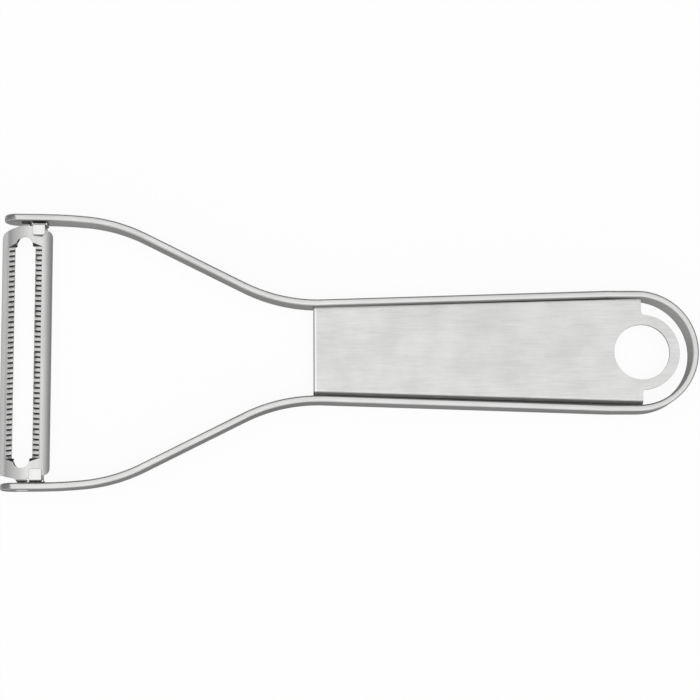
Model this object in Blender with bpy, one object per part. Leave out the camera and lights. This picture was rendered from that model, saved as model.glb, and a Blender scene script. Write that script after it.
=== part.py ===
"""Vegetable peeler: a bent steel bar with a pressed handle plate and a swivelling serrated blade.

The peeler lies flat. X runs from the blade to the tail loop, Y across the head, Z up through the
depth of the bar. Y = 0 is the middle plane, and Z = 0 is the rear edge of the bar.
"""

import math

import bmesh
import bpy
from mathutils import Matrix, Vector

MM = 0.001

# Bar: one flat strip bent edgeways, with its broad sides upright
OVERALL_LENGTH = 167.5 * MM
BAR_THICKNESS = 1.6 * MM
BAR_DEPTH = 6.4 * MM
BAR_EDGE_ROUND = 0.45 * MM
HEAD_WIDTH = 66.7 * MM
ARM_LENGTH = 9.5 * MM
ARM_TAPER = math.radians(0.4)
ARM_BOW_RADIUS = 117.0 * MM
ARM_BOW_ANGLE = math.radians(5.5)
SHOULDER_RADIUS = 39.5 * MM
DIAGONAL_ANGLE = math.radians(26.7)
THROAT_RADIUS = 39.5 * MM
WAIST_WIDTH = 24.95 * MM
TAIL_WIDTH = 29.5 * MM
TAIL_STRAIGHT = 7.4 * MM

# Handle plate: pressed sheet with a flange down each side and a ring at the tail
PLATE_THICKNESS = 0.8 * MM
PLATE_RECESS = 2.0 * MM
PLATE_BEND_RADIUS = 0.7 * MM
PLATE_FLANGE = 3.4 * MM
PLATE_LEAD = 1.1 * MM
RING_RADIUS = 9.2 * MM
RING_TAIL_GAP = 2.7 * MM
RING_CORNER_RADIUS = 0.8 * MM
HANG_HOLE_RADIUS = 6.75 * MM

# Blade: stamped strip, arched across, with a slot, ground bevels and teeth
PIVOT_FROM_TIP = 5.2 * MM
BLADE_THICKNESS = 0.7 * MM
BLADE_WIDTH = 12.6 * MM
BLADE_ARCH_RADIUS = 8.6 * MM
CROWN_ABOVE_PIVOT = 1.5 * MM
REST_TILT = math.radians(10.0)
BLADE_CORNER_RADIUS = 1.5 * MM
BLADE_TAPER = math.radians(13.0)
SLOT_HALF_WIDTH = 2.08 * MM
SLOT_END_MARGIN = 3.35 * MM
BEVEL_INNER = 2.75 * MM
BEVEL_OUTER = 4.55 * MM
BEVEL_END_MARGIN = 5.75 * MM
BEVEL_END_SLOPE = math.radians(48.0)
CUTTING_EDGE = 0.12 * MM
TOOTH_PITCH = 1.244 * MM
GULLET_WIDTH = 0.46 * MM
GULLET_DEPTH = 0.2 * MM
GULLET_SLANT = math.radians(5.0)

# Ears and pins: the turned-down ends of the blade and what they swing on
EAR_GAP = 0.3 * MM
EAR_NECK_HALF_WIDTH = 1.05 * MM
EAR_NECK_FLARE = 0.35 * MM
EAR_NECK_DROP = 0.8 * MM
EAR_RADIUS = 1.25 * MM
EAR_BEND_RADIUS = 0.15 * MM
JOURNAL_RADIUS = 0.55 * MM
JOURNAL_PAST_EAR = 0.5 * MM
PIN_RADIUS = 0.85 * MM
PIN_HEAD_RADIUS = 1.45 * MM
PIN_HEAD_DEPTH = 0.6 * MM
PIN_FLUSH = 0.05 * MM

# Stop clips: folded strips on the arms, whose prongs straddle the blade's shoulders
CLIP_THICKNESS = 0.5 * MM
CLIP_BEND_RADIUS = 0.35 * MM
CLIP_START = 1.5 * MM
CLIP_WIDTH = 3.7 * MM
PRONG_INSET = 0.4 * MM
PRONG_WIDTH = 2.9 * MM
PRONG_REACH = 3.35 * MM
PRONG_CORNER_RADIUS = 0.35 * MM
SWING_FORWARD = math.radians(14.0)
SWING_BACK = math.radians(12.0)
STOP_CLEARANCE = 0.13 * MM

# Clearances between pieces
JOURNAL_CLEARANCE = 0.1 * MM
RUNNING_CLEARANCE = 0.15 * MM
SEAT_CLEARANCE = 0.25 * MM

# Fineness of the curved surfaces
ARC_STEP = math.radians(2.0)
TAIL_STEP = math.radians(4.0)
ARCH_STEP = math.radians(6.0)
TIP_STEPS = 9
EDGE_STEPS = 2
BEND_STEPS = 5
ROUND_SEGMENTS = 32
HANG_HOLE_SEGMENTS = 72

# Worked out from the sizes above
TIP_X = -OVERALL_LENGTH / 2
PIVOT_X = TIP_X + PIVOT_FROM_TIP
PIVOT_Z = BAR_DEPTH / 2
HEAD_LINE = (HEAD_WIDTH - BAR_THICKNESS) / 2
WAIST_LINE = (WAIST_WIDTH - BAR_THICKNESS) / 2
TAIL_LINE = (TAIL_WIDTH - BAR_THICKNESS) / 2
TAIL_CENTRE_X = OVERALL_LENGTH / 2 - TAIL_WIDTH / 2
RING_X = OVERALL_LENGTH / 2 - BAR_THICKNESS - RING_TAIL_GAP - RING_RADIUS


def arc_points(centre, radius, start, end, step):
    """Points on an arc from angle start to angle end, both ends included."""
    count = max(1, math.ceil(abs(end - start) / step - 1e-6))
    points = []
    for i in range(count + 1):
        angle = start + (end - start) * i / count
        points.append(Vector((centre[0] + radius * math.cos(angle), centre[1] + radius * math.sin(angle))))
    return points


def bar_stations():
    """Middle line of the bar's +Y half, from the end of the straight arm to the tail.

    Returns the line as (point, heading) pairs, the x of the waist and the taper of the handle sides.
    """
    stations = []

    def follow_arc(centre, radius, start, end, step):
        # heading runs along the arc: a quarter turn from the radius, on the side it is swept to
        side = math.copysign(math.pi / 2, end - start)
        count = max(1, math.ceil(abs(end - start) / step - 1e-6))
        for i in range(count + 1):
            angle = start + (end - start) * i / count
            point = Vector((centre[0] + radius * math.cos(angle), centre[1] + radius * math.sin(angle)))
            stations.append((point, angle + side))

    quarter = math.pi / 2
    along_arm = Vector((math.cos(ARM_TAPER), -math.sin(ARM_TAPER)))
    tip = Vector((TIP_X, HEAD_LINE))
    bow = tip + along_arm * ARM_LENGTH - ARM_BOW_RADIUS * Vector((math.sin(ARM_TAPER), math.cos(ARM_TAPER)))
    follow_arc(bow, ARM_BOW_RADIUS, quarter - ARM_TAPER, quarter - ARM_BOW_ANGLE, ARC_STEP)
    bend = stations.pop()[0]
    shoulder = bend - SHOULDER_RADIUS * Vector((math.sin(ARM_BOW_ANGLE), math.cos(ARM_BOW_ANGLE)))
    follow_arc(shoulder, SHOULDER_RADIUS, quarter - ARM_BOW_ANGLE, quarter - DIAGONAL_ANGLE, ARC_STEP)

    diagonal_start = stations[-1][0]
    throat_rise = THROAT_RADIUS * (1 - math.cos(DIAGONAL_ANGLE))
    diagonal = (diagonal_start.y - WAIST_LINE - throat_rise) / math.sin(DIAGONAL_ANGLE)
    throat_x = diagonal_start.x + diagonal * math.cos(DIAGONAL_ANGLE)
    throat_x += THROAT_RADIUS * math.sin(DIAGONAL_ANGLE)
    throat = Vector((throat_x, WAIST_LINE + THROAT_RADIUS))
    tail_run = Vector((TAIL_CENTRE_X - TAIL_STRAIGHT, TAIL_LINE))
    across = tail_run - throat
    handle_taper = math.atan2(across.y, across.x) + math.asin(THROAT_RADIUS / across.length)
    follow_arc(throat, THROAT_RADIUS, -quarter - DIAGONAL_ANGLE, -quarter + handle_taper, ARC_STEP)

    stations.append((tail_run, handle_taper / 2))
    follow_arc((TAIL_CENTRE_X, 0), TAIL_LINE, quarter, 0, TAIL_STEP)
    return stations, throat_x, handle_taper


def bar_inner_face(x):
    """Half of the clear width between the bar's inner faces at x, on the straight arms or handle sides."""
    if x < TIP_X + ARM_LENGTH:
        middle = HEAD_LINE - (x - TIP_X) * math.tan(ARM_TAPER)
        return middle - BAR_THICKNESS / 2 / math.cos(ARM_TAPER)
    _, _, taper = bar_stations()
    before_tail = max(TAIL_CENTRE_X - TAIL_STRAIGHT - x, 0.0)
    return TAIL_LINE - before_tail * math.tan(taper) - BAR_THICKNESS / 2 / math.cos(taper)


def steel(name, grey, roughness):
    """Principled material of one steel finish."""
    material = bpy.data.materials.new(name)
    material.use_nodes = True
    shader = material.node_tree.nodes["Principled BSDF"]
    shader.inputs["Base Color"].default_value = (grey, grey, grey * 0.985, 1.0)
    shader.inputs["Metallic"].default_value = 1.0
    shader.inputs["Roughness"].default_value = roughness
    return material


def finish(bm, name, material, sharp_angle=35.0):
    """Turns a bmesh into a named, shaded object."""
    bmesh.ops.recalc_face_normals(bm, faces=bm.faces[:])
    mesh = bpy.data.meshes.new(name)
    bm.to_mesh(mesh)
    bm.free()
    mesh.materials.append(material)
    mesh.shade_smooth()
    mesh.set_sharp_from_angle(angle=math.radians(sharp_angle))
    piece = bpy.data.objects.new(name, mesh)
    bpy.context.scene.collection.objects.link(piece)
    return piece


def cutter(bm, name):
    """Turns a bmesh into a hidden cutting tool."""
    bmesh.ops.recalc_face_normals(bm, faces=bm.faces[:])
    mesh = bpy.data.meshes.new(name)
    bm.to_mesh(mesh)
    bm.free()
    tool = bpy.data.objects.new(name, mesh)
    bpy.context.scene.collection.objects.link(tool)
    tool.hide_render = True
    tool.display_type = "WIRE"
    return tool


def cut_away(piece, tool):
    """Adds a cut by the tool to the piece."""
    cut = piece.modifiers.new(tool.name, "BOOLEAN")
    cut.operation = "DIFFERENCE"
    cut.solver = "EXACT"
    cut.object = tool


def revolve(profile, segments=ROUND_SEGMENTS):
    """Closed body from (distance, radius) pairs turned about the Y axis."""
    bm = bmesh.new()
    rings = []
    for distance, radius in profile:
        ring = []
        for i in range(segments):
            angle = 2 * math.pi * i / segments
            ring.append(bm.verts.new((radius * math.cos(angle), distance, radius * math.sin(angle))))
        rings.append(ring)
    for near, far in zip(rings, rings[1:]):
        for i in range(segments):
            j = (i + 1) % segments
            bm.faces.new((near[i], near[j], far[j], far[i]))
    bm.faces.new(rings[0])
    bm.faces.new(rings[-1])
    return bm


def sheet_blank(loops, thickness):
    """Flat sheet with its upper face at z = 0, from an outline and the outlines of its holes."""
    bm = bmesh.new()
    for loop in loops:
        corners = [bm.verts.new((x, y, 0.0)) for x, y in loop]
        for i, corner in enumerate(corners):
            bm.edges.new((corners[i - 1], corner))
    bmesh.ops.triangle_fill(bm, edges=bm.edges[:], use_beauty=True, normal=(0, 0, 1))
    lower = bmesh.ops.extrude_face_region(bm, geom=bm.faces[:])["geom"]
    lower = [item for item in lower if isinstance(item, bmesh.types.BMVert)]
    bmesh.ops.translate(bm, verts=lower, vec=(0, 0, -thickness))
    bmesh.ops.recalc_face_normals(bm, faces=bm.faces[:])
    return bm


def crease(bm, point, normal):
    """Runs a line of edges across the sheet, where the plane through the point meets it."""
    geometry = bm.verts[:] + bm.edges[:] + bm.faces[:]
    bmesh.ops.bisect_plane(bm, geom=geometry, dist=1e-7, plane_co=point, plane_no=normal)


def fold_down(bm, point, outward, inner_radius, thickness):
    """Bends the sheet down by a right angle past the line through the point, square to outward."""
    outer_radius = inner_radius + thickness
    length = (inner_radius + thickness / 2) * math.pi / 2
    for i in range(BEND_STEPS + 1):
        crease(bm, point + outward * length * i / BEND_STEPS, outward)
    for vert in bm.verts:
        past = (vert.co - point).dot(outward)
        if past <= 0:
            continue
        turn = min(past / length, 1.0) * math.pi / 2
        beyond = max(past - length, 0.0)
        radius = outer_radius + vert.co.z
        flat = vert.co - outward * past
        vert.co = flat + outward * radius * math.sin(turn)
        vert.co.z = radius * math.cos(turn) - outer_radius - beyond


def circle(centre_x, centre_y, radius, segments):
    """Outline of a round hole."""
    points = []
    for i in range(segments):
        angle = 2 * math.pi * i / segments
        points.append((centre_x + radius * math.cos(angle), centre_y + radius * math.sin(angle)))
    return points


def rounded_corner(before, corner, after, radius, step=math.radians(15)):
    """Arc that rounds a corner of an outline, met by the straight lines from before and to after."""
    into = (Vector(corner) - Vector(before)).normalized()
    out = (Vector(after) - Vector(corner)).normalized()
    turn = math.atan2(into.x * out.y - into.y * out.x, into.dot(out))
    start = Vector(corner) - into * radius * math.tan(abs(turn) / 2)
    side = math.copysign(1.0, turn)
    centre = start + Vector((-into.y, into.x)) * radius * side
    first = math.atan2(start.y - centre.y, start.x - centre.x)
    return [tuple(p) for p in arc_points(centre, radius, first, first + turn, step)]


def make_frame_bar(material):
    """The yoke, the handle sides and the tail loop, as one bent strip."""
    # the section's corners as (offset across the strip, distance in from its edge)
    layers = []
    for i in range(EDGE_STEPS + 1):
        angle = math.pi / 2 * i / EDGE_STEPS
        across = BAR_THICKNESS / 2 - BAR_EDGE_ROUND * (1 - math.cos(angle))
        layers.append((across, BAR_EDGE_ROUND * (1 - math.sin(angle))))
    layers += [(-across, inset) for across, inset in reversed(layers)]

    tip_radius = BAR_DEPTH / 2
    half, _, _ = bar_stations()
    along_arm = Vector((math.cos(ARM_TAPER), -math.sin(ARM_TAPER)))
    off_arm = Vector((math.sin(ARM_TAPER), math.cos(ARM_TAPER)))
    tip = Vector((TIP_X, HEAD_LINE))
    rows = []
    for i in range(TIP_STEPS + 1):
        # the half-round tip: every layer follows its own smaller half circle
        angle = math.pi / 2 * i / TIP_STEPS
        row = []
        for across, inset in layers:
            radius = tip_radius - inset
            back = tip_radius - radius * math.cos(angle)
            place = tip + along_arm * back + off_arm * across
            row.append((place, radius * math.sin(angle)))
        rows.append(row)
    for point, heading in half:
        outward = Vector((-math.sin(heading), math.cos(heading)))
        rows.append([(point + outward * across, tip_radius - inset) for across, inset in layers])
    rows += [[(Vector((place.x, -place.y)), rise) for place, rise in row] for row in reversed(rows[:-1])]

    bm = bmesh.new()
    rings = []
    for row in rows:
        ring = [bm.verts.new((place.x, place.y, tip_radius + rise)) for place, rise in row]
        ring += [bm.verts.new((place.x, place.y, tip_radius - rise)) for place, rise in reversed(row)]
        rings.append(ring)
    for near, far in zip(rings, rings[1:]):
        for i in range(len(near)):
            j = (i + 1) % len(near)
            bm.faces.new((near[i], near[j], far[j], far[i]))
    bmesh.ops.remove_doubles(bm, verts=bm.verts[:], dist=MM / 1000)
    bar = finish(bm, "frame_bar", material)

    # one hole through each arm tip, countersunk for the flush head of its pin
    inner = bar_inner_face(PIVOT_X)
    outer = inner + BAR_THICKNESS / math.cos(ARM_TAPER)
    head = PIN_HEAD_RADIUS + SEAT_CLEARANCE
    shank = PIN_RADIUS + SEAT_CLEARANCE
    past = BAR_THICKNESS
    slope = (head - shank) / PIN_HEAD_DEPTH
    for side in (1, -1):
        profile = [
            (side * (outer + past), head + slope * past),
            (side * (outer - PIN_HEAD_DEPTH), shank),
            (side * (inner - past), shank),
        ]
        bm = revolve(profile)
        bmesh.ops.translate(bm, verts=bm.verts[:], vec=(PIVOT_X, 0, PIVOT_Z))
        cut_away(bar, cutter(bm, f"arm_hole_cutter_{side}"))
    return bar


def make_handle_plate(material):
    """The pressed plate between the handle sides, flanged down along them, with its ring."""
    _, throat_x, _ = bar_stations()
    start_x = throat_x - PLATE_LEAD
    bend = PLATE_BEND_RADIUS + PLATE_THICKNESS
    bend_length = (PLATE_BEND_RADIUS + PLATE_THICKNESS / 2) * math.pi / 2
    widening = bar_inner_face(RING_X) - bar_inner_face(start_x)
    taper = math.atan2(widening, RING_X - start_x)
    side_normal = Vector((-math.sin(taper), math.cos(taper), 0))

    def flange_line(x, outside):
        """Half width at x of a line that lies outside the bend line by the given distance."""
        flange_face = bar_inner_face(RING_X) - SEAT_CLEARANCE - (RING_X - x) * math.tan(taper)
        return flange_face - (bend - outside) / math.cos(taper)

    # the flat blank reaches past the bend line by the bend and the straight part of the flange
    reach = bend_length + PLATE_FLANGE - bend
    corner_start = (start_x, flange_line(start_x, reach))
    corner_end = (RING_X, flange_line(RING_X, reach))
    upper = [corner_start, corner_end]
    # a small inside radius leads from the square end into the ring
    centre_y = math.sqrt((RING_RADIUS + RING_CORNER_RADIUS) ** 2 - RING_CORNER_RADIUS**2)
    fillet_centre = (RING_X + RING_CORNER_RADIUS, centre_y)
    touch = math.atan2(centre_y, RING_CORNER_RADIUS)
    fillet = arc_points(fillet_centre, RING_CORNER_RADIUS, math.pi, math.pi + touch, math.radians(20))
    ring = arc_points((RING_X, 0), RING_RADIUS, touch, 0, math.radians(5))
    upper += [tuple(p) for p in fillet] + [tuple(p) for p in ring[1:]]
    lower = [(x, -y) for x, y in reversed(upper) if y > 1e-9]
    hole = circle(RING_X, 0, HANG_HOLE_RADIUS, HANG_HOLE_SEGMENTS)
    bm = sheet_blank([upper + lower, hole], PLATE_THICKNESS)
    for side in (1, -1):
        outward = Vector((side_normal.x, side_normal.y * side, 0))
        line = Vector((RING_X, side * flange_line(RING_X, 0), 0))
        fold_down(bm, line, outward, PLATE_BEND_RADIUS, PLATE_THICKNESS)
    bmesh.ops.translate(bm, verts=bm.verts[:], vec=(0, 0, BAR_DEPTH - PLATE_RECESS))
    return finish(bm, "handle_plate", material)


def bevel_level(across):
    """Height of the ground bevel at a distance from the blade's middle, in the flat blank."""
    fall = (BLADE_THICKNESS - CUTTING_EDGE) / (BEVEL_OUTER - BEVEL_INNER)
    return -fall * (BEVEL_OUTER - across)


def make_blade(material):
    """The arched strip with its slot, ground bevels, teeth and ears, about its pivot line."""
    ear_face = bar_inner_face(PIVOT_X) - EAR_GAP
    ear_bend = EAR_BEND_RADIUS + BLADE_THICKNESS
    bend_y = ear_face - ear_bend
    bend_length = (EAR_BEND_RADIUS + BLADE_THICKNESS / 2) * math.pi / 2
    hole_y = bend_y + bend_length + CROWN_ABOVE_PIVOT - ear_bend
    half_width = BLADE_ARCH_RADIUS * math.asin(BLADE_WIDTH / 2 / BLADE_ARCH_RADIUS)

    # outline of one end, from the long edge round the shoulder to the tip of the ear
    foot = (EAR_NECK_HALF_WIDTH + EAR_NECK_FLARE, ear_face - EAR_NECK_DROP)
    neck = (EAR_NECK_HALF_WIDTH, foot[1] + EAR_NECK_FLARE)
    shoulder_y = foot[1] - (half_width - foot[0]) * math.tan(BLADE_TAPER)
    shoulder = rounded_corner((half_width, 0), (half_width, shoulder_y), foot, BLADE_CORNER_RADIUS)
    meets = math.pi - math.acos(EAR_NECK_HALF_WIDTH / EAR_RADIUS)
    ear = arc_points((0, hole_y), EAR_RADIUS, math.pi - meets, math.pi / 2, math.radians(15))
    quarter = shoulder + [foot, neck] + [tuple(p) for p in ear]
    mirrored = [(-x, y) for x, y in reversed(quarter) if x > 1e-9]
    end = quarter + mirrored
    outline = end + [(-x, -y) for x, y in end]

    slot_end = ear_face - SLOT_END_MARGIN - SLOT_HALF_WIDTH
    slot = [tuple(p) for p in arc_points((0, slot_end), SLOT_HALF_WIDTH, 0, math.pi, math.radians(12))]
    slot += [(-x, -y) for x, y in slot]
    journal_hole = JOURNAL_RADIUS + JOURNAL_CLEARANCE
    ear_holes = [circle(0, side * hole_y, journal_hole, ROUND_SEGMENTS) for side in (1, -1)]
    blank = finish(sheet_blank([outline, slot] + ear_holes, BLADE_THICKNESS), "blade", material)

    # grinding wedge along each slot edge: it opens the slot to the cutting edge and runs out at a slope
    bevel_half = ear_face - BEVEL_END_MARGIN
    beyond = BEVEL_OUTER + BLADE_THICKNESS
    inside = SLOT_HALF_WIDTH / 2
    top = bevel_level(beyond) + BLADE_THICKNESS
    under = -2 * BLADE_THICKNESS
    edge = bevel_level(BEVEL_INNER)
    section = [(inside, under), (BEVEL_INNER, under), (BEVEL_INNER, edge), (beyond, bevel_level(beyond))]
    section += [(beyond, top), (inside, top), (inside, bevel_level(inside))]
    bm = bmesh.new()
    for side in (1, -1):
        ends = []
        for end_side in (1, -1):
            ring = []
            for across, level in section:
                along = bevel_half + max(level - bevel_level(across), 0) * math.tan(BEVEL_END_SLOPE)
                ring.append(bm.verts.new((side * across, end_side * along, level)))
            ends.append(ring)
            # square up to the ground face, and sloped above it
            bm.faces.new(ring[:3] + ring[6:])
            bm.faces.new(ring[2:])
        for i in range(len(section)):
            j = (i + 1) % len(section)
            bm.faces.new((ends[0][i], ends[0][j], ends[1][j], ends[1][i]))
    cut_away(blank, cutter(bm, "bevel_cutter"))

    # one V groove for each gullet between two teeth, at an even depth under the bevel
    count = int(2 * bevel_half / TOOTH_PITCH)
    start = BEVEL_INNER - GULLET_DEPTH
    stop = BEVEL_OUTER - GULLET_DEPTH
    bm = bmesh.new()
    for side in (1, -1):
        for i in range(count):
            y = (i - (count - 1) / 2) * TOOTH_PITCH
            ends = []
            for across in (start, stop):
                level = bevel_level(across)
                shift = (across - BEVEL_INNER) * math.tan(GULLET_SLANT)
                ring = []
                for off, rise in ((0, -1), (GULLET_WIDTH, 1), (-GULLET_WIDTH, 1)):
                    ring.append(bm.verts.new((side * across, y - shift + off, level + rise * GULLET_DEPTH)))
                ends.append(ring)
            for j in range(3):
                k = (j + 1) % 3
                bm.faces.new((ends[0][j], ends[0][k], ends[1][k], ends[1][j]))
            bm.faces.new(ends[0])
            bm.faces.new(ends[1])
    cut_away(blank, cutter(bm, "groove_cutter"))

    bpy.context.view_layer.update()
    ground = bpy.data.meshes.new_from_object(blank.evaluated_get(bpy.context.evaluated_depsgraph_get()))
    bm = bmesh.new()
    bm.from_mesh(ground)
    bpy.data.meshes.remove(ground)
    blank.modifiers.clear()
    for tool in ("bevel_cutter", "groove_cutter"):
        bpy.data.objects.remove(bpy.data.objects[tool])

    # forming: creases where the arch bends, then the ears are folded and the strip is arched
    columns = math.ceil(half_width / BLADE_ARCH_RADIUS / ARCH_STEP)
    for i in range(1 - columns, columns):
        crease(bm, Vector((i * ARCH_STEP * BLADE_ARCH_RADIUS, 0, 0)), Vector((1, 0, 0)))
    for side in (1, -1):
        for i in range(3):
            y = shoulder_y + (bend_y - shoulder_y) * i / 3
            crease(bm, Vector((0, side * y, 0)), Vector((0, 1, 0)))
        fold_down(bm, Vector((0, side * bend_y, 0)), Vector((0, side, 0)), EAR_BEND_RADIUS, BLADE_THICKNESS)
    for vert in bm.verts:
        # over the end, bending across gives way to a plain drop, which leaves the ears flat
        drop = min(max((abs(vert.co.y) - shoulder_y) / (bend_y - shoulder_y), 0.0), 1.0)
        radius = BLADE_ARCH_RADIUS + vert.co.z
        turn = vert.co.x / BLADE_ARCH_RADIUS
        bent = Vector((radius * math.sin(turn), vert.co.y, radius * math.cos(turn) - BLADE_ARCH_RADIUS))
        sagitta = BLADE_ARCH_RADIUS - math.sqrt(BLADE_ARCH_RADIUS**2 - vert.co.x**2)
        vert.co = bent.lerp(vert.co - Vector((0, 0, sagitta)), drop)
        vert.co.z += CROWN_ABOVE_PIVOT
    bmesh.ops.triangulate(bm, faces=bm.faces[:])
    bmesh.ops.recalc_face_normals(bm, faces=bm.faces[:])
    bm.to_mesh(blank.data)
    bm.free()
    blank.data.shade_smooth()
    blank.data.set_sharp_from_angle(angle=math.radians(20))
    blank.location = (PIVOT_X, 0, PIVOT_Z)
    blank.rotation_euler = (0, -REST_TILT, 0)
    return blank


def make_pivot_pin(name, side, material):
    """Pin riveted flush through an arm tip, with the journal that carries the blade's ear."""
    inner = bar_inner_face(PIVOT_X)
    outer = inner + BAR_THICKNESS / math.cos(ARM_TAPER)
    taper_rise = PIN_HEAD_RADIUS * math.tan(ARM_TAPER)
    ear_face = inner - EAR_GAP
    shoulder = ear_face + RUNNING_CLEARANCE
    nose = ear_face - BLADE_THICKNESS - JOURNAL_PAST_EAR
    chamfer = JOURNAL_RADIUS / 3
    profile = [
        (outer - PIN_FLUSH - taper_rise, PIN_HEAD_RADIUS),
        (outer - PIN_HEAD_DEPTH, PIN_RADIUS),
        (shoulder, PIN_RADIUS),
        (shoulder, JOURNAL_RADIUS),
        (nose + chamfer, JOURNAL_RADIUS),
        (nose, JOURNAL_RADIUS - chamfer),
    ]
    bm = revolve([(side * distance, radius) for distance, radius in profile])
    pin = finish(bm, name, material)
    pin.location = (PIVOT_X, 0, PIVOT_Z)
    return pin


def stop_levels():
    """Heights above and below the pivot at which the prongs stop the blade, at its two limits."""
    centre = BLADE_ARCH_RADIUS - CROWN_ABOVE_PIVOT
    front = BLADE_ARCH_RADIUS - centre * math.cos(SWING_FORWARD) + STOP_CLEARANCE
    prong_end = CLIP_START + PRONG_INSET + PRONG_WIDTH
    underside = BLADE_ARCH_RADIUS - BLADE_THICKNESS
    across = prong_end + centre * math.sin(SWING_BACK)
    rear = math.sqrt(underside**2 - across**2) - centre * math.cos(SWING_BACK) - STOP_CLEARANCE
    return front, rear


def make_stop_clip(name, side, material):
    """Clip on an arm's inner face: a base with one prong in front of the blade and one behind it."""
    front, rear = stop_levels()
    half_height = (front - rear) / 2 + CLIP_THICKNESS
    bend = CLIP_BEND_RADIUS + CLIP_THICKNESS
    bend_length = (CLIP_BEND_RADIUS + CLIP_THICKNESS / 2) * math.pi / 2
    bend_line = half_height - bend
    prong_end = bend_line + bend_length + PRONG_REACH - SEAT_CLEARANCE - bend
    left, right = CLIP_START, CLIP_START + CLIP_WIDTH
    prong_left = left + PRONG_INSET
    prong_right = prong_left + PRONG_WIDTH
    first, second = (prong_right, prong_end), (prong_left, prong_end)
    far = rounded_corner((prong_right, 0), first, second, PRONG_CORNER_RADIUS)
    far += rounded_corner(first, second, (prong_left, 0), PRONG_CORNER_RADIUS)
    near = [(x, -y) for x, y in reversed(far)]
    outline = [(right, -bend_line), (right, bend_line), (prong_right, bend_line)] + far
    outline += [(prong_left, bend_line), (left, bend_line), (left, -bend_line), (prong_left, -bend_line)]
    outline += near + [(prong_right, -bend_line)]
    bm = sheet_blank([outline], CLIP_THICKNESS)
    for end in (1, -1):
        line = Vector((0, end * bend_line, 0))
        fold_down(bm, line, Vector((0, end, 0)), CLIP_BEND_RADIUS, CLIP_THICKNESS)
    clip = finish(bm, name, material)
    # the sheet's upper face turns to the arm, and the clip follows the arm's taper
    seat = bar_inner_face(PIVOT_X) - SEAT_CLEARANCE / math.cos(ARM_TAPER)
    turn = Matrix.Rotation(-side * ARM_TAPER, 4, "Z") @ Matrix.Rotation(-side * math.pi / 2, 4, "X")
    middle = PIVOT_Z + (front + rear) / 2
    clip.matrix_world = Matrix.Translation((PIVOT_X, side * seat, middle)) @ turn
    return clip


def main():
    for old in list(bpy.data.objects):
        bpy.data.objects.remove(old)
    bar_steel = steel("bar_steel", 0.72, 0.28)
    plate_steel = steel("plate_steel", 0.70, 0.34)
    blade_steel = steel("blade_steel", 0.74, 0.24)
    clip_steel = steel("clip_steel", 0.76, 0.22)
    pin_steel = steel("pin_steel", 0.70, 0.26)
    make_frame_bar(bar_steel)
    make_handle_plate(plate_steel)
    make_blade(blade_steel)
    for word, side in (("right", 1), ("left", -1)):
        make_pivot_pin(f"pivot_pin_{word}", side, pin_steel)
        make_stop_clip(f"stop_clip_{word}", side, clip_steel)


main()
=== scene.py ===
"""Vegetable peeler: finished steel surfaces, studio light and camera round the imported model."""

import math

import bmesh
import bpy
from mathutils import Matrix, Vector


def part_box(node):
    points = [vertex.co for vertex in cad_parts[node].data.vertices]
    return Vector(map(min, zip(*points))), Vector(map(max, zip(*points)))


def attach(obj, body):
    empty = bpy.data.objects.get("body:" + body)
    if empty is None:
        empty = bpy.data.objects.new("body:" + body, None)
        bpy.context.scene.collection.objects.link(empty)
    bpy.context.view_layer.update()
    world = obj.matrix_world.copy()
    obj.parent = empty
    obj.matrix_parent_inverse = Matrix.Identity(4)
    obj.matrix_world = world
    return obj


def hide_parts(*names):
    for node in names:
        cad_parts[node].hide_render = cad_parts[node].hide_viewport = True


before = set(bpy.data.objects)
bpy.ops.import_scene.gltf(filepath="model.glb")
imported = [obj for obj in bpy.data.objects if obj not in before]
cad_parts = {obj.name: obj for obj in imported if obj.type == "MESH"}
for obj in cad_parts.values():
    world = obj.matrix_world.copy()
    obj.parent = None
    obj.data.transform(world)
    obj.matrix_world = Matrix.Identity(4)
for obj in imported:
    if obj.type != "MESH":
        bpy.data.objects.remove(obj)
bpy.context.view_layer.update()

MM = 0.001

# Blade: where it turns, how far it leans at rest, its arch, and the half sizes of its bevels and slot
PIVOT = Vector((-0.07855, 0.0, 0.0032))
REST_TILT = math.radians(10.0)
ARCH_RADIUS = 8.6 * MM
CROWN_HEIGHT = 1.5 * MM
BEVEL_REACH = 4.6 * MM
BEVEL_LENGTH = 26.2 * MM
SLOT_LENGTH = 28.0 * MM

# Plate: its sheet, the CAD's fold and how far past it still counts, the tighter fold of the real one on its
# far side, and how far that flange is drawn out to the bar it is welded to. Then the stretch of its ring.
PLATE_THICKNESS = 0.8 * MM
FOLD_OUTER = 1.5 * MM
FOLD_MARGIN = 0.02 * MM
FOLD_TIGHT = 0.12 * MM
FLANGE_OUT = 0.14 * MM
RING_LENGTH = 20.0 * MM
RING_HALF_WIDTH = 11.0 * MM

# Bar: how far its darker sheared skin, partly painted shade, reaches from the tips of the arms
SHEARED_LENGTH = 3.0 * MM

# Softened rims of the stamped and turned pieces, at most: the modifier narrows them where faces are small
RIM = {
    "handle_plate": 0.25 * MM,
    "stop_clip_right": 0.07 * MM,
    "stop_clip_left": 0.07 * MM,
    "pivot_pin_right": 0.05 * MM,
    "pivot_pin_left": 0.05 * MM,
}
RIM_FROM = math.radians(50.0)

# Corners that count as one point, faces that count as one plane, and edges that stay sharp
WELD_DISTANCE = 0.001 * MM
FLAT_WITHIN = math.radians(0.6)
SHARP_FROM = math.radians(35.0)

# Largest part of a rim's unit normal: along Z on the plate's ring, and along Y on the arm tips and pins
UPRIGHT_BELOW = 0.3
SIDE_ON_BELOW = 0.5

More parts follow.
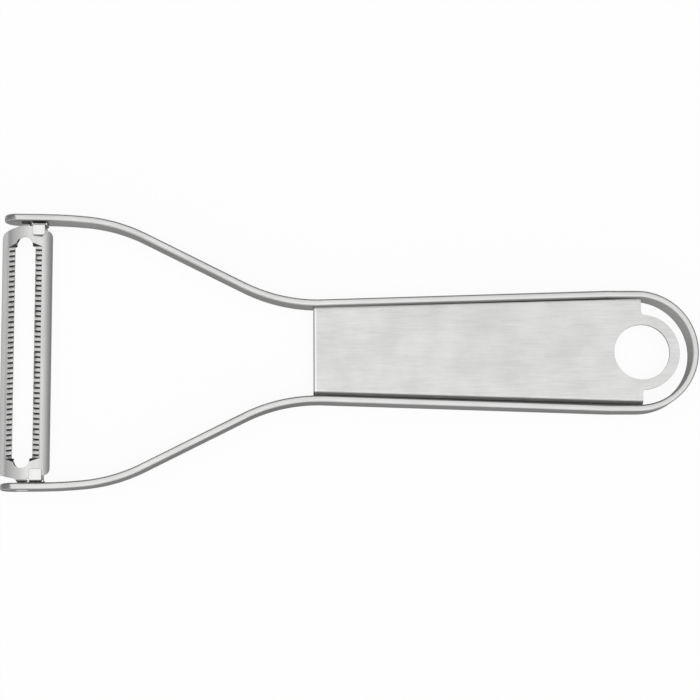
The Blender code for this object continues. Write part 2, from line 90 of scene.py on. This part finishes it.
# Grain: noise cycles in a metre along and across it, the share of them that its blotches have, its depth,
# and the range of the noise that is spread from dark to bright
CYCLES_ALONG = 90.0
CYCLES_ACROSS = 4200.0
BLOTCH_SHARE = (0.8, 0.04, 0.04)
GRAIN_DEPTH = 0.02 * MM
NOISE_LOW = 0.3
NOISE_HIGH = 0.7

# Plate's leading edge: a painted highlight strip and then a painted shade line on the cut, as start, stop and
# tone
EDGE_HIGHLIGHT_AND_SHADE = ((0.4 * MM, 1.0 * MM, 0.80), (0.3 * MM, 0.42 * MM, 0.30))

# Floor: far wider than the view, just under the object, its paper, and how much of it is seen as plain white
FLOOR_HALF_SIZE = 30.0
FLOOR_DROP = 0.02 * MM
PAPER_TONE = 0.94
WHITE_SHARE = 0.92

# Studio tent: its tone by height, which rises towards the near side and the left, and the tone of its
# walls from left to right
NEAR_RISE = 0.4
LEFT_RISE = 0.5
HEIGHT_STOPS = ((0.0, 0.04), (0.25, 0.16), (0.5, 0.24), (0.66, 0.58), (0.9, 0.61), (1.0, 0.68))
WALL_STOPS = (
    (0.0, 0.42), (0.25, 0.54), (0.42, 0.76), (0.49, 0.79),
    (0.6, 0.69), (0.68, 0.84), (0.78, 0.84), (0.95, 0.5),
)
TENT_STRENGTH = 2.6

# Camera, matched to the photograph
CAMERA_PLACE = (-0.016299, -0.078345, 0.428671)
CAMERA_TURN = (math.radians(7.168), math.radians(-2.071), math.radians(-0.334))
LENS = 92.146
SHIFT_UP = 0.15

# Sockets of a Mix node that share their names with others: under, over and result, of colours and of numbers
COLOUR_UNDER, COLOUR_OVER, COLOUR_RESULT = 6, 7, 2
NUMBER_UNDER, NUMBER_OVER, NUMBER_RESULT = 2, 3, 0


# Node helpers

def new_node(tree, kind, inputs=None, **settings):
    """Adds a node and sets its properties and then its inputs: a socket is linked, a value is set."""
    node = tree.nodes.new(kind)
    for key, value in settings.items():
        setattr(node, key, value)
    for key, value in (inputs or {}).items():
        if isinstance(value, bpy.types.NodeSocket):
            tree.links.new(value, node.inputs[key])
        else:
            node.inputs[key].default_value = value
    return node


def maths(tree, operation, *values):
    """Output of a math node on these sockets and numbers."""
    return new_node(tree, "ShaderNodeMath", dict(enumerate(values)), operation=operation).outputs[0]


def product(tree, first, second):
    """Output of a vector node that multiplies the two part by part."""
    return new_node(tree, "ShaderNodeVectorMath", {0: first, 1: second}, operation="MULTIPLY").outputs[0]


def ranged(tree, value, start, stop, at_start, at_stop, interpolation_type="LINEAR"):
    """Output of a node that goes from at_start to at_stop while the value goes from start to stop."""
    inputs = {"Value": value, "From Min": start, "From Max": stop, "To Min": at_start, "To Max": at_stop}
    return new_node(tree, "ShaderNodeMapRange", inputs, interpolation_type=interpolation_type).outputs[0]


def mixed(tree, factor, under, over, blend_type="MIX"):
    """Output of a node that lays one colour over another."""
    inputs = {"Factor": factor, COLOUR_UNDER: under, COLOUR_OVER: over}
    node = new_node(tree, "ShaderNodeMix", inputs, data_type="RGBA", blend_type=blend_type)
    return node.outputs[COLOUR_RESULT]


def grey(level, warmth=0.0):
    """Grey colour with its blue lowered by the warmth."""
    return (level, level, level - warmth, 1.0)


# Shared effects: grinding grain, and a mask for faces that stand upright

def new_group(name, inputs, outputs):
    """Adds a node group with these inputs, as kind and value by name, and number outputs."""
    group = bpy.data.node_groups.new(name, "ShaderNodeTree")
    for label, (kind, value) in inputs.items():
        group.interface.new_socket(label, in_out="INPUT", socket_type=kind).default_value = value
    for label in outputs:
        group.interface.new_socket(label, in_out="OUTPUT", socket_type="NodeSocketFloat")
    return group


def grain_group():
    """Streaks along the X of the vector they are given: a mask of fine ones and a mask of broad blotches."""
    group = new_group("ground_streaks", {
        "Vector": ("NodeSocketVector", (0.0, 0.0, 0.0)),
        "Cycles along": ("NodeSocketFloat", CYCLES_ALONG),
        "Cycles across": ("NodeSocketFloat", CYCLES_ACROSS),
    }, ("Mask", "Broad mask"))
    ins = group.nodes.new("NodeGroupInput").outputs
    outs = group.nodes.new("NodeGroupOutput").inputs
    along, across = ins["Cycles along"], ins["Cycles across"]
    stretch = new_node(group, "ShaderNodeCombineXYZ", {"X": along, "Y": across, "Z": across})
    fine_place = product(group, ins["Vector"], stretch.outputs[0])
    broad_place = product(group, fine_place, BLOTCH_SHARE)
    for place, roughness, label in ((fine_place, 0.6, "Mask"), (broad_place, 0.55, "Broad mask")):
        noise = new_node(group, "ShaderNodeTexNoise", {
            "Vector": place, "Scale": 1.0, "Detail": 3.0, "Roughness": roughness})
        group.links.new(noise.outputs["Fac"], outs[label])
    return group


def upright_group():
    """Mask of the faces that stand upright in the object's own frame: 1 on a side face, 0 on a flat edge; the
    steel finishes lay painted shade by it.
    """
    group = new_group("upright_faces", {
        "Flat from": ("NodeSocketFloat", 0.75),
        "Upright from": ("NodeSocketFloat", 0.25),
    }, ("Mask",))
    ins = group.nodes.new("NodeGroupInput").outputs
    outs = group.nodes.new("NodeGroupOutput").inputs
    facing = group.nodes.new("ShaderNodeTexCoord").outputs["Normal"]
    parts = new_node(group, "ShaderNodeSeparateXYZ", {0: facing}).outputs
    flatness = maths(group, "ABSOLUTE", parts["Z"])
    mask = ranged(group, flatness, ins["Upright from"], ins["Flat from"], 1.0, 0.0, "SMOOTHSTEP")
    group.links.new(mask, outs["Mask"])
    return group


STREAKS = grain_group()
UPRIGHT = upright_group()


# Steel finishes, with painted shade and painted highlights laid into some of them

def steel(name, bright, dark, roughness, swing, bump, warmth=0.005, turn=0.0, along=CYCLES_ALONG,
          across=CYCLES_ACROSS, flank_shade=None, flank_roughness=0.5, flat_from=0.75, upright_from=0.25,
          edge_tint=None, painted_edge_from=None):
    """Ground steel whose grain runs along X, or is turned from it about Z.

    The grain takes the tone from dark to bright, and the roughness by swing to either side.
    Upright faces keep the duller roughness of a rolled skin, flank_roughness, and their colour is darkened by
    the given factor as painted shade. flat_from and upright_from are the heights of a normal at which that
    ends and is full.
    edge_tint is the tone of what a glancing view reflects; set low, it darkens faces seen at a glance as
    painted shade.
    The X of a cut edge, if given, puts a painted shade line on the cut and a painted highlight just behind
    it.
    """
    material = bpy.data.materials.new(name)
    material.use_nodes = True
    tree = material.node_tree
    place = tree.nodes.new("ShaderNodeTexCoord").outputs["Object"]
    turned = new_node(tree, "ShaderNodeMapping", {"Vector": place, "Rotation": (0.0, 0.0, turn)})
    streaks = new_node(tree, "ShaderNodeGroup", node_tree=STREAKS)
    tree.links.new(turned.outputs[0], streaks.inputs["Vector"])
    streaks.inputs["Cycles along"].default_value = along
    streaks.inputs["Cycles across"].default_value = across
    blotches = maths(tree, "MULTIPLY", streaks.outputs["Broad mask"], 0.5)
    grain = maths(tree, "MULTIPLY_ADD", streaks.outputs["Mask"], 0.5, blotches)

    tone = ranged(tree, grain, NOISE_LOW, NOISE_HIGH, 0.0, 1.0)
    colour = mixed(tree, tone, grey(dark, warmth), grey(bright, warmth))
    rough = ranged(tree, grain, NOISE_LOW, NOISE_HIGH, roughness + swing, roughness - swing)
    if flank_shade:
        upright = new_node(tree, "ShaderNodeGroup", node_tree=UPRIGHT)
        upright.inputs["Flat from"].default_value = flat_from
        upright.inputs["Upright from"].default_value = upright_from
        mask = upright.outputs["Mask"]
        colour = mixed(tree, mask, colour, grey(flank_shade), "MULTIPLY")
        inputs = {"Factor": mask, NUMBER_UNDER: rough, NUMBER_OVER: flank_roughness}
        rough = new_node(tree, "ShaderNodeMix", inputs, data_type="FLOAT").outputs[NUMBER_RESULT]
    if painted_edge_from is not None:
        x = new_node(tree, "ShaderNodeSeparateXYZ", {0: place}).outputs["X"]
        for start, stop, level in EDGE_HIGHLIGHT_AND_SHADE:
            near = ranged(tree, x, painted_edge_from + start, painted_edge_from + stop, 1.0, 0.0, "SMOOTHSTEP")
            colour = mixed(tree, near, colour, grey(level))

    shader = tree.nodes["Principled BSDF"]
    shader.inputs["Metallic"].default_value = 1.0
    if edge_tint:
        shader.inputs["Specular Tint"].default_value = grey(edge_tint)
    tree.links.new(colour, shader.inputs["Base Color"])
    tree.links.new(rough, shader.inputs["Roughness"])
    raised = new_node(tree, "ShaderNodeBump", {
        "Strength": bump, "Distance": GRAIN_DEPTH, "Height": streaks.outputs["Mask"]})
    tree.links.new(raised.outputs[0], shader.inputs["Normal"])
    return material


QUARTER = math.pi / 2
# Painted shade on the bar: its flanks a little darker, and their glancing reflections much darker through
# edge_tint.
BAR = steel("ground_bar_steel_painted_shade", bright=0.65, dark=0.55, roughness=0.30, swing=0.05, bump=0.2,
            flank_shade=0.95, flank_roughness=0.4, flat_from=0.9, upright_from=0.4, edge_tint=0.1)
# Painted light on the plate: its folds and flanges a little darker as painted shade, and its leading edge a
# painted highlight and a painted shade line.
PLATE = steel("satin_plate_steel_painted_light", bright=0.66, dark=0.53, roughness=0.33, swing=0.06, bump=0.3, along=180.0,
              flank_shade=0.95, flank_roughness=0.4, painted_edge_from=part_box("handle_plate")[0][0])
# Painted shade on the blade: the steep margins of its arch and its slot walls darkened to 0.7.
BLADE = steel("blade_steel_painted_shade", bright=0.65, dark=0.57, roughness=0.28, swing=0.04, bump=0.15,
              turn=QUARTER, flank_shade=0.7, flank_roughness=0.35, flat_from=0.8, upright_from=0.5)
BEVEL = steel("blade_bevel_finish", bright=0.60, dark=0.48, roughness=0.30, swing=0.05, bump=0.3)
# Painted shade: the gullets and slot walls near black, where shade falls in the grooves.
GULLET_SHADE = steel("blade_gullet_painted_shade", bright=0.07, dark=0.04, roughness=0.6, swing=0.05, bump=0.3,
               warmth=0.0, edge_tint=0.2)
# Painted shade on the clip: its upright faces, the base in the crevice by the arm, darkened to a quarter.
CLIP = steel("clip_steel_painted_shade", bright=0.76, dark=0.64, roughness=0.24, swing=0.04, bump=0.15,
             turn=QUARTER, flank_shade=0.25)
PIN = steel("pin_steel_finish", bright=0.48, dark=0.38, roughness=0.34, swing=0.05, bump=0.1)
# Darker sheared skin of the arm tips, whose dark tone is also painted shade of their rounding; the pins' rims
# take the same tone.
SHEARED_AND_SHADE = steel("sheared_end_and_painted_shade", bright=0.34, dark=0.16, roughness=0.42, swing=0.08, bump=0.4,
                warmth=0.0, along=900.0, across=1600.0)
CUT_EDGE = steel("plate_cut_edge", bright=0.30, dark=0.20, roughness=0.45, swing=0.05, bump=0.2, warmth=0.0)

# Finishes of each piece, some of them painted shade, with the one of most faces first, and the slot that its
# record gives it
FINISH = {
    "frame_bar": (BAR, SHEARED_AND_SHADE),
    "handle_plate": (PLATE, CUT_EDGE),
    "blade": (BLADE, BEVEL, GULLET_SHADE),
    "stop_clip_right": (CLIP,),
    "stop_clip_left": (CLIP,),
    "pivot_pin_right": (PIN, SHEARED_AND_SHADE),
    "pivot_pin_left": (PIN, SHEARED_AND_SHADE),
}


# Shape, finish and painted shade of the pieces

def finish_and_shade_blade(bm):
    """Gives the gullets and slot walls a near-black painted shade, and the ground bevels a finish of their
    own.
    """
    lengthwise_from, upward_from, bevel_turn = 0.3, 0.1, 0.15
    bevel, gullet_shade = (FINISH["blade"].index(finish) for finish in (BEVEL, GULLET_SHADE))
    level = Matrix.Rotation(REST_TILT, 3, "Y")
    bm.normal_update()
    for face in bm.faces:
        place = level @ (face.calc_center_median() - PIVOT)
        normal = level @ face.normal
        across = abs(place.x)
        outward = normal.x if place.x > 0 else -normal.x
        between_ends = abs(place.y) <= BEVEL_LENGTH
        if across > BEVEL_REACH or abs(place.y) > SLOT_LENGTH:
            continue
        if abs(normal.y) > lengthwise_from:
            if between_ends or normal.z > upward_from:
                face.material_index = gullet_shade
        elif between_ends and outward < across / ARCH_RADIUS - bevel_turn:
            face.material_index = bevel


def arch_normals(mesh):
    """Gives the blade's crowned face the true directions of its arch, so that its facets don't show."""
    arch_margin, crown_match = 0.03 * MM, 0.98
    level = Matrix.Rotation(REST_TILT, 3, "Y")
    lean = level.inverted()
    directions = [Vector((0, 0, 0)) for _ in mesh.loops]
    for face in mesh.polygons:
        facing = level @ face.normal
        for i in face.loop_indices:
            place = level @ (mesh.vertices[mesh.loops[i].vertex_index].co - PIVOT)
            spoke = Vector((place.x, 0, place.z - CROWN_HEIGHT + ARCH_RADIUS))
            on_arch = abs(spoke.length - ARCH_RADIUS) < arch_margin
            if on_arch and facing.dot(spoke.normalized()) > crown_match:
                directions[i] = lean @ spoke.normalized()
    mesh.normals_split_custom_set(directions)


def finish_plate(bm):
    """Gives the rims of the ring and its hole their dull cut finish."""
    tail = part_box("handle_plate")[1][0]
    bm.normal_update()
    for face in bm.faces:
        place = face.calc_center_median()
        at_ring = place.x > tail - RING_LENGTH and abs(place.y) < RING_HALF_WIDTH
        if at_ring and abs(face.normal.z) < UPRIGHT_BELOW:
            face.material_index = FINISH["handle_plate"].index(CUT_EDGE)


def finish_and_shade_bar(bm):
    """Gives the round ends of the arms their duller sheared skin, whose dark tone is also painted shade of
    the rounding.
    """
    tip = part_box("frame_bar")[0][0]
    bm.normal_update()
    for face in bm.faces:
        at_tip = face.calc_center_median().x < tip + SHEARED_LENGTH
        if at_tip and abs(face.normal.y) < SIDE_ON_BELOW:
            face.material_index = FINISH["frame_bar"].index(SHEARED_AND_SHADE)


def finish_pin(bm, name):
    """Gives the turned rims of a pin the darker, duller tone of the arm tips."""
    bm.normal_update()
    for face in bm.faces:
        if abs(face.normal.y) < SIDE_ON_BELOW:
            face.material_index = FINISH[name].index(SHEARED_AND_SHADE)


def tighten_fold(bm):
    """Tightens the plate's far fold to the corner of the real one, and draws its flange out to the bar.

    The flange's foot goes out by FLANGE_OUT, and its fold by twice as much.
    """
    low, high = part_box("handle_plate")
    corners = [vert.co.copy() for vert in bm.verts]
    front = max((corner for corner in corners if corner.x < low[0] + MM), key=lambda corner: corner.y)
    back = max(corners, key=lambda corner: corner.y)
    slope = (back.y - front.y) / (back.x - front.x)
    for vert in bm.verts:
        outer_face = front.y + FLANGE_OUT + slope * (vert.co.x - front.x)
        inward = outer_face - vert.co.y
        down = high[2] - vert.co.z
        if inward > FOLD_OUTER + FOLD_MARGIN:
            continue
        if down > FOLD_OUTER + FOLD_MARGIN:
            vert.co.y += FLANGE_OUT
            continue
        across, along = FOLD_OUTER - inward, FOLD_OUTER - down
        turn = math.atan2(max(across, 0), max(along, 0))
        if math.hypot(across, along) > FOLD_OUTER - PLATE_THICKNESS / 2:
            centre, radius = FOLD_TIGHT, FOLD_TIGHT
        else:
            centre, radius = PLATE_THICKNESS + FOLD_TIGHT / 4, FOLD_TIGHT / 4
        vert.co.y = outer_face - centre + (radius + FLANGE_OUT) * math.sin(turn)
        vert.co.z = high[2] - centre + radius * math.cos(turn)


def fine_mesh(name, source):
    """Mesh of a finished piece: the CAD node's faces with their finer shape, finishes, painted shade and
    smooth shading.
    """
    bm = bmesh.new()
    bm.from_mesh(source)
    bmesh.ops.remove_doubles(bm, verts=bm.verts[:], dist=WELD_DISTANCE)
    if name == "frame_bar":
        finish_and_shade_bar(bm)
    elif name == "handle_plate":
        tighten_fold(bm)
        finish_plate(bm)
    elif name == "blade":
        finish_and_shade_blade(bm)
    elif name.startswith("pivot_pin"):
        finish_pin(bm, name)
    if name in RIM:
        bmesh.ops.dissolve_limit(bm, angle_limit=FLAT_WITHIN, verts=bm.verts[:], edges=bm.edges[:])
    mesh = bpy.data.meshes.new("fine_" + name)
    for finish in FINISH[name]:
        mesh.materials.append(finish)
    bm.to_mesh(mesh)
    bm.free()
    mesh.shade_smooth()
    mesh.set_sharp_from_angle(angle=SHARP_FROM)
    if name == "blade":
        arch_normals(mesh)
    return mesh


def place_in_scene(name, content):
    """Adds an object that holds the content, such as a mesh or a camera, to the scene."""
    placed = bpy.data.objects.new(name, content)
    bpy.context.scene.collection.objects.link(placed)
    return placed


for name, node in list(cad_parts.items()):
    piece = place_in_scene("fine_" + name, fine_mesh(name, node.data))
    if name in RIM:
        rim = piece.modifiers.new("softened_rim", "BEVEL")
        rim.width = RIM[name]
        rim.segments = 2
        rim.limit_method = "ANGLE"
        rim.angle_limit = RIM_FROM
        rim.use_clamp_overlap = True
    if name != "blade":
        weighted = piece.modifiers.new("even_faces", "WEIGHTED_NORMAL")
        weighted.keep_sharp = True
    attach(piece, "blade" if name == "blade" else "frame")
    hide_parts(name)


# Floor, world light and camera

def floor():
    """White paper under the object, seen mostly as plain white, with a faint shadow left on it."""
    bm = bmesh.new()
    bmesh.ops.create_grid(bm, x_segments=1, y_segments=1, size=FLOOR_HALF_SIZE)
    mesh = bpy.data.meshes.new("floor")
    bm.to_mesh(mesh)
    bm.free()
    ground = place_in_scene("floor", mesh)
    ground.location.z = -FLOOR_DROP
    material = bpy.data.materials.new("pale_floor")
    material.use_nodes = True
    tree = material.node_tree
    tree.nodes.remove(tree.nodes["Principled BSDF"])
    paper = new_node(tree, "ShaderNodeBsdfDiffuse", {"Color": grey(PAPER_TONE)})
    glow = new_node(tree, "ShaderNodeEmission", {"Color": grey(1.0), "Strength": 1.0})
    rays = tree.nodes.new("ShaderNodeLightPath").outputs
    seen = maths(tree, "MAXIMUM", rays["Is Camera Ray"], rays["Is Glossy Ray"])
    seen = maths(tree, "MAXIMUM", seen, rays["Is Transmission Ray"])
    share = maths(tree, "MULTIPLY", seen, WHITE_SHARE)
    blend = new_node(tree, "ShaderNodeMixShader", {0: share, 1: paper.outputs[0], 2: glow.outputs[0]})
    tree.links.new(blend.outputs[0], tree.nodes["Material Output"].inputs["Surface"])
    mesh.materials.append(material)


def grey_ramp(tree, level, stops):
    """Output of a colour ramp with these grey stops."""
    ramp = new_node(tree, "ShaderNodeValToRGB", {0: level})
    elements = ramp.color_ramp.elements
    for i, (position, tone) in enumerate(stops):
        stop = elements[i] if i < 2 else elements.new(position)
        stop.position = position
        stop.color = grey(tone)
    return ramp.outputs[0]


def world_light():
    """Studio tent: light overhead and well down on the near side and the left, dark at the horizon."""
    world = bpy.data.worlds.new("studio_tent")
    bpy.context.scene.world = world
    world.use_nodes = True
    tree = world.node_tree
    direction = tree.nodes.new("ShaderNodeTexCoord").outputs["Generated"]
    parts = new_node(tree, "ShaderNodeSeparateXYZ", {0: direction}).outputs
    height = maths(tree, "MULTIPLY_ADD", parts["Y"], -NEAR_RISE, parts["Z"])
    left = maths(tree, "MINIMUM", parts["X"], 0.0)
    height = maths(tree, "MULTIPLY_ADD", left, -LEFT_RISE, height)
    sideways = maths(tree, "MULTIPLY_ADD", parts["X"], 0.5, 0.5)
    tent = product(tree, grey_ramp(tree, height, HEIGHT_STOPS), grey_ramp(tree, sideways, WALL_STOPS))
    background = tree.nodes["Background"]
    tree.links.new(tent, background.inputs["Color"])
    background.inputs["Strength"].default_value = TENT_STRENGTH


floor()
world_light()

view = bpy.data.cameras.new("photo_view")
view.sensor_width = 36.0
view.lens = LENS
view.shift_y = SHIFT_UP
view.clip_start = 0.01
view.clip_end = 10.0
camera = place_in_scene("photo_view", view)
camera.location = CAMERA_PLACE
camera.rotation_euler = CAMERA_TURN
bpy.context.scene.camera = camera
bpy.context.scene.view_settings.view_transform = "Standard"
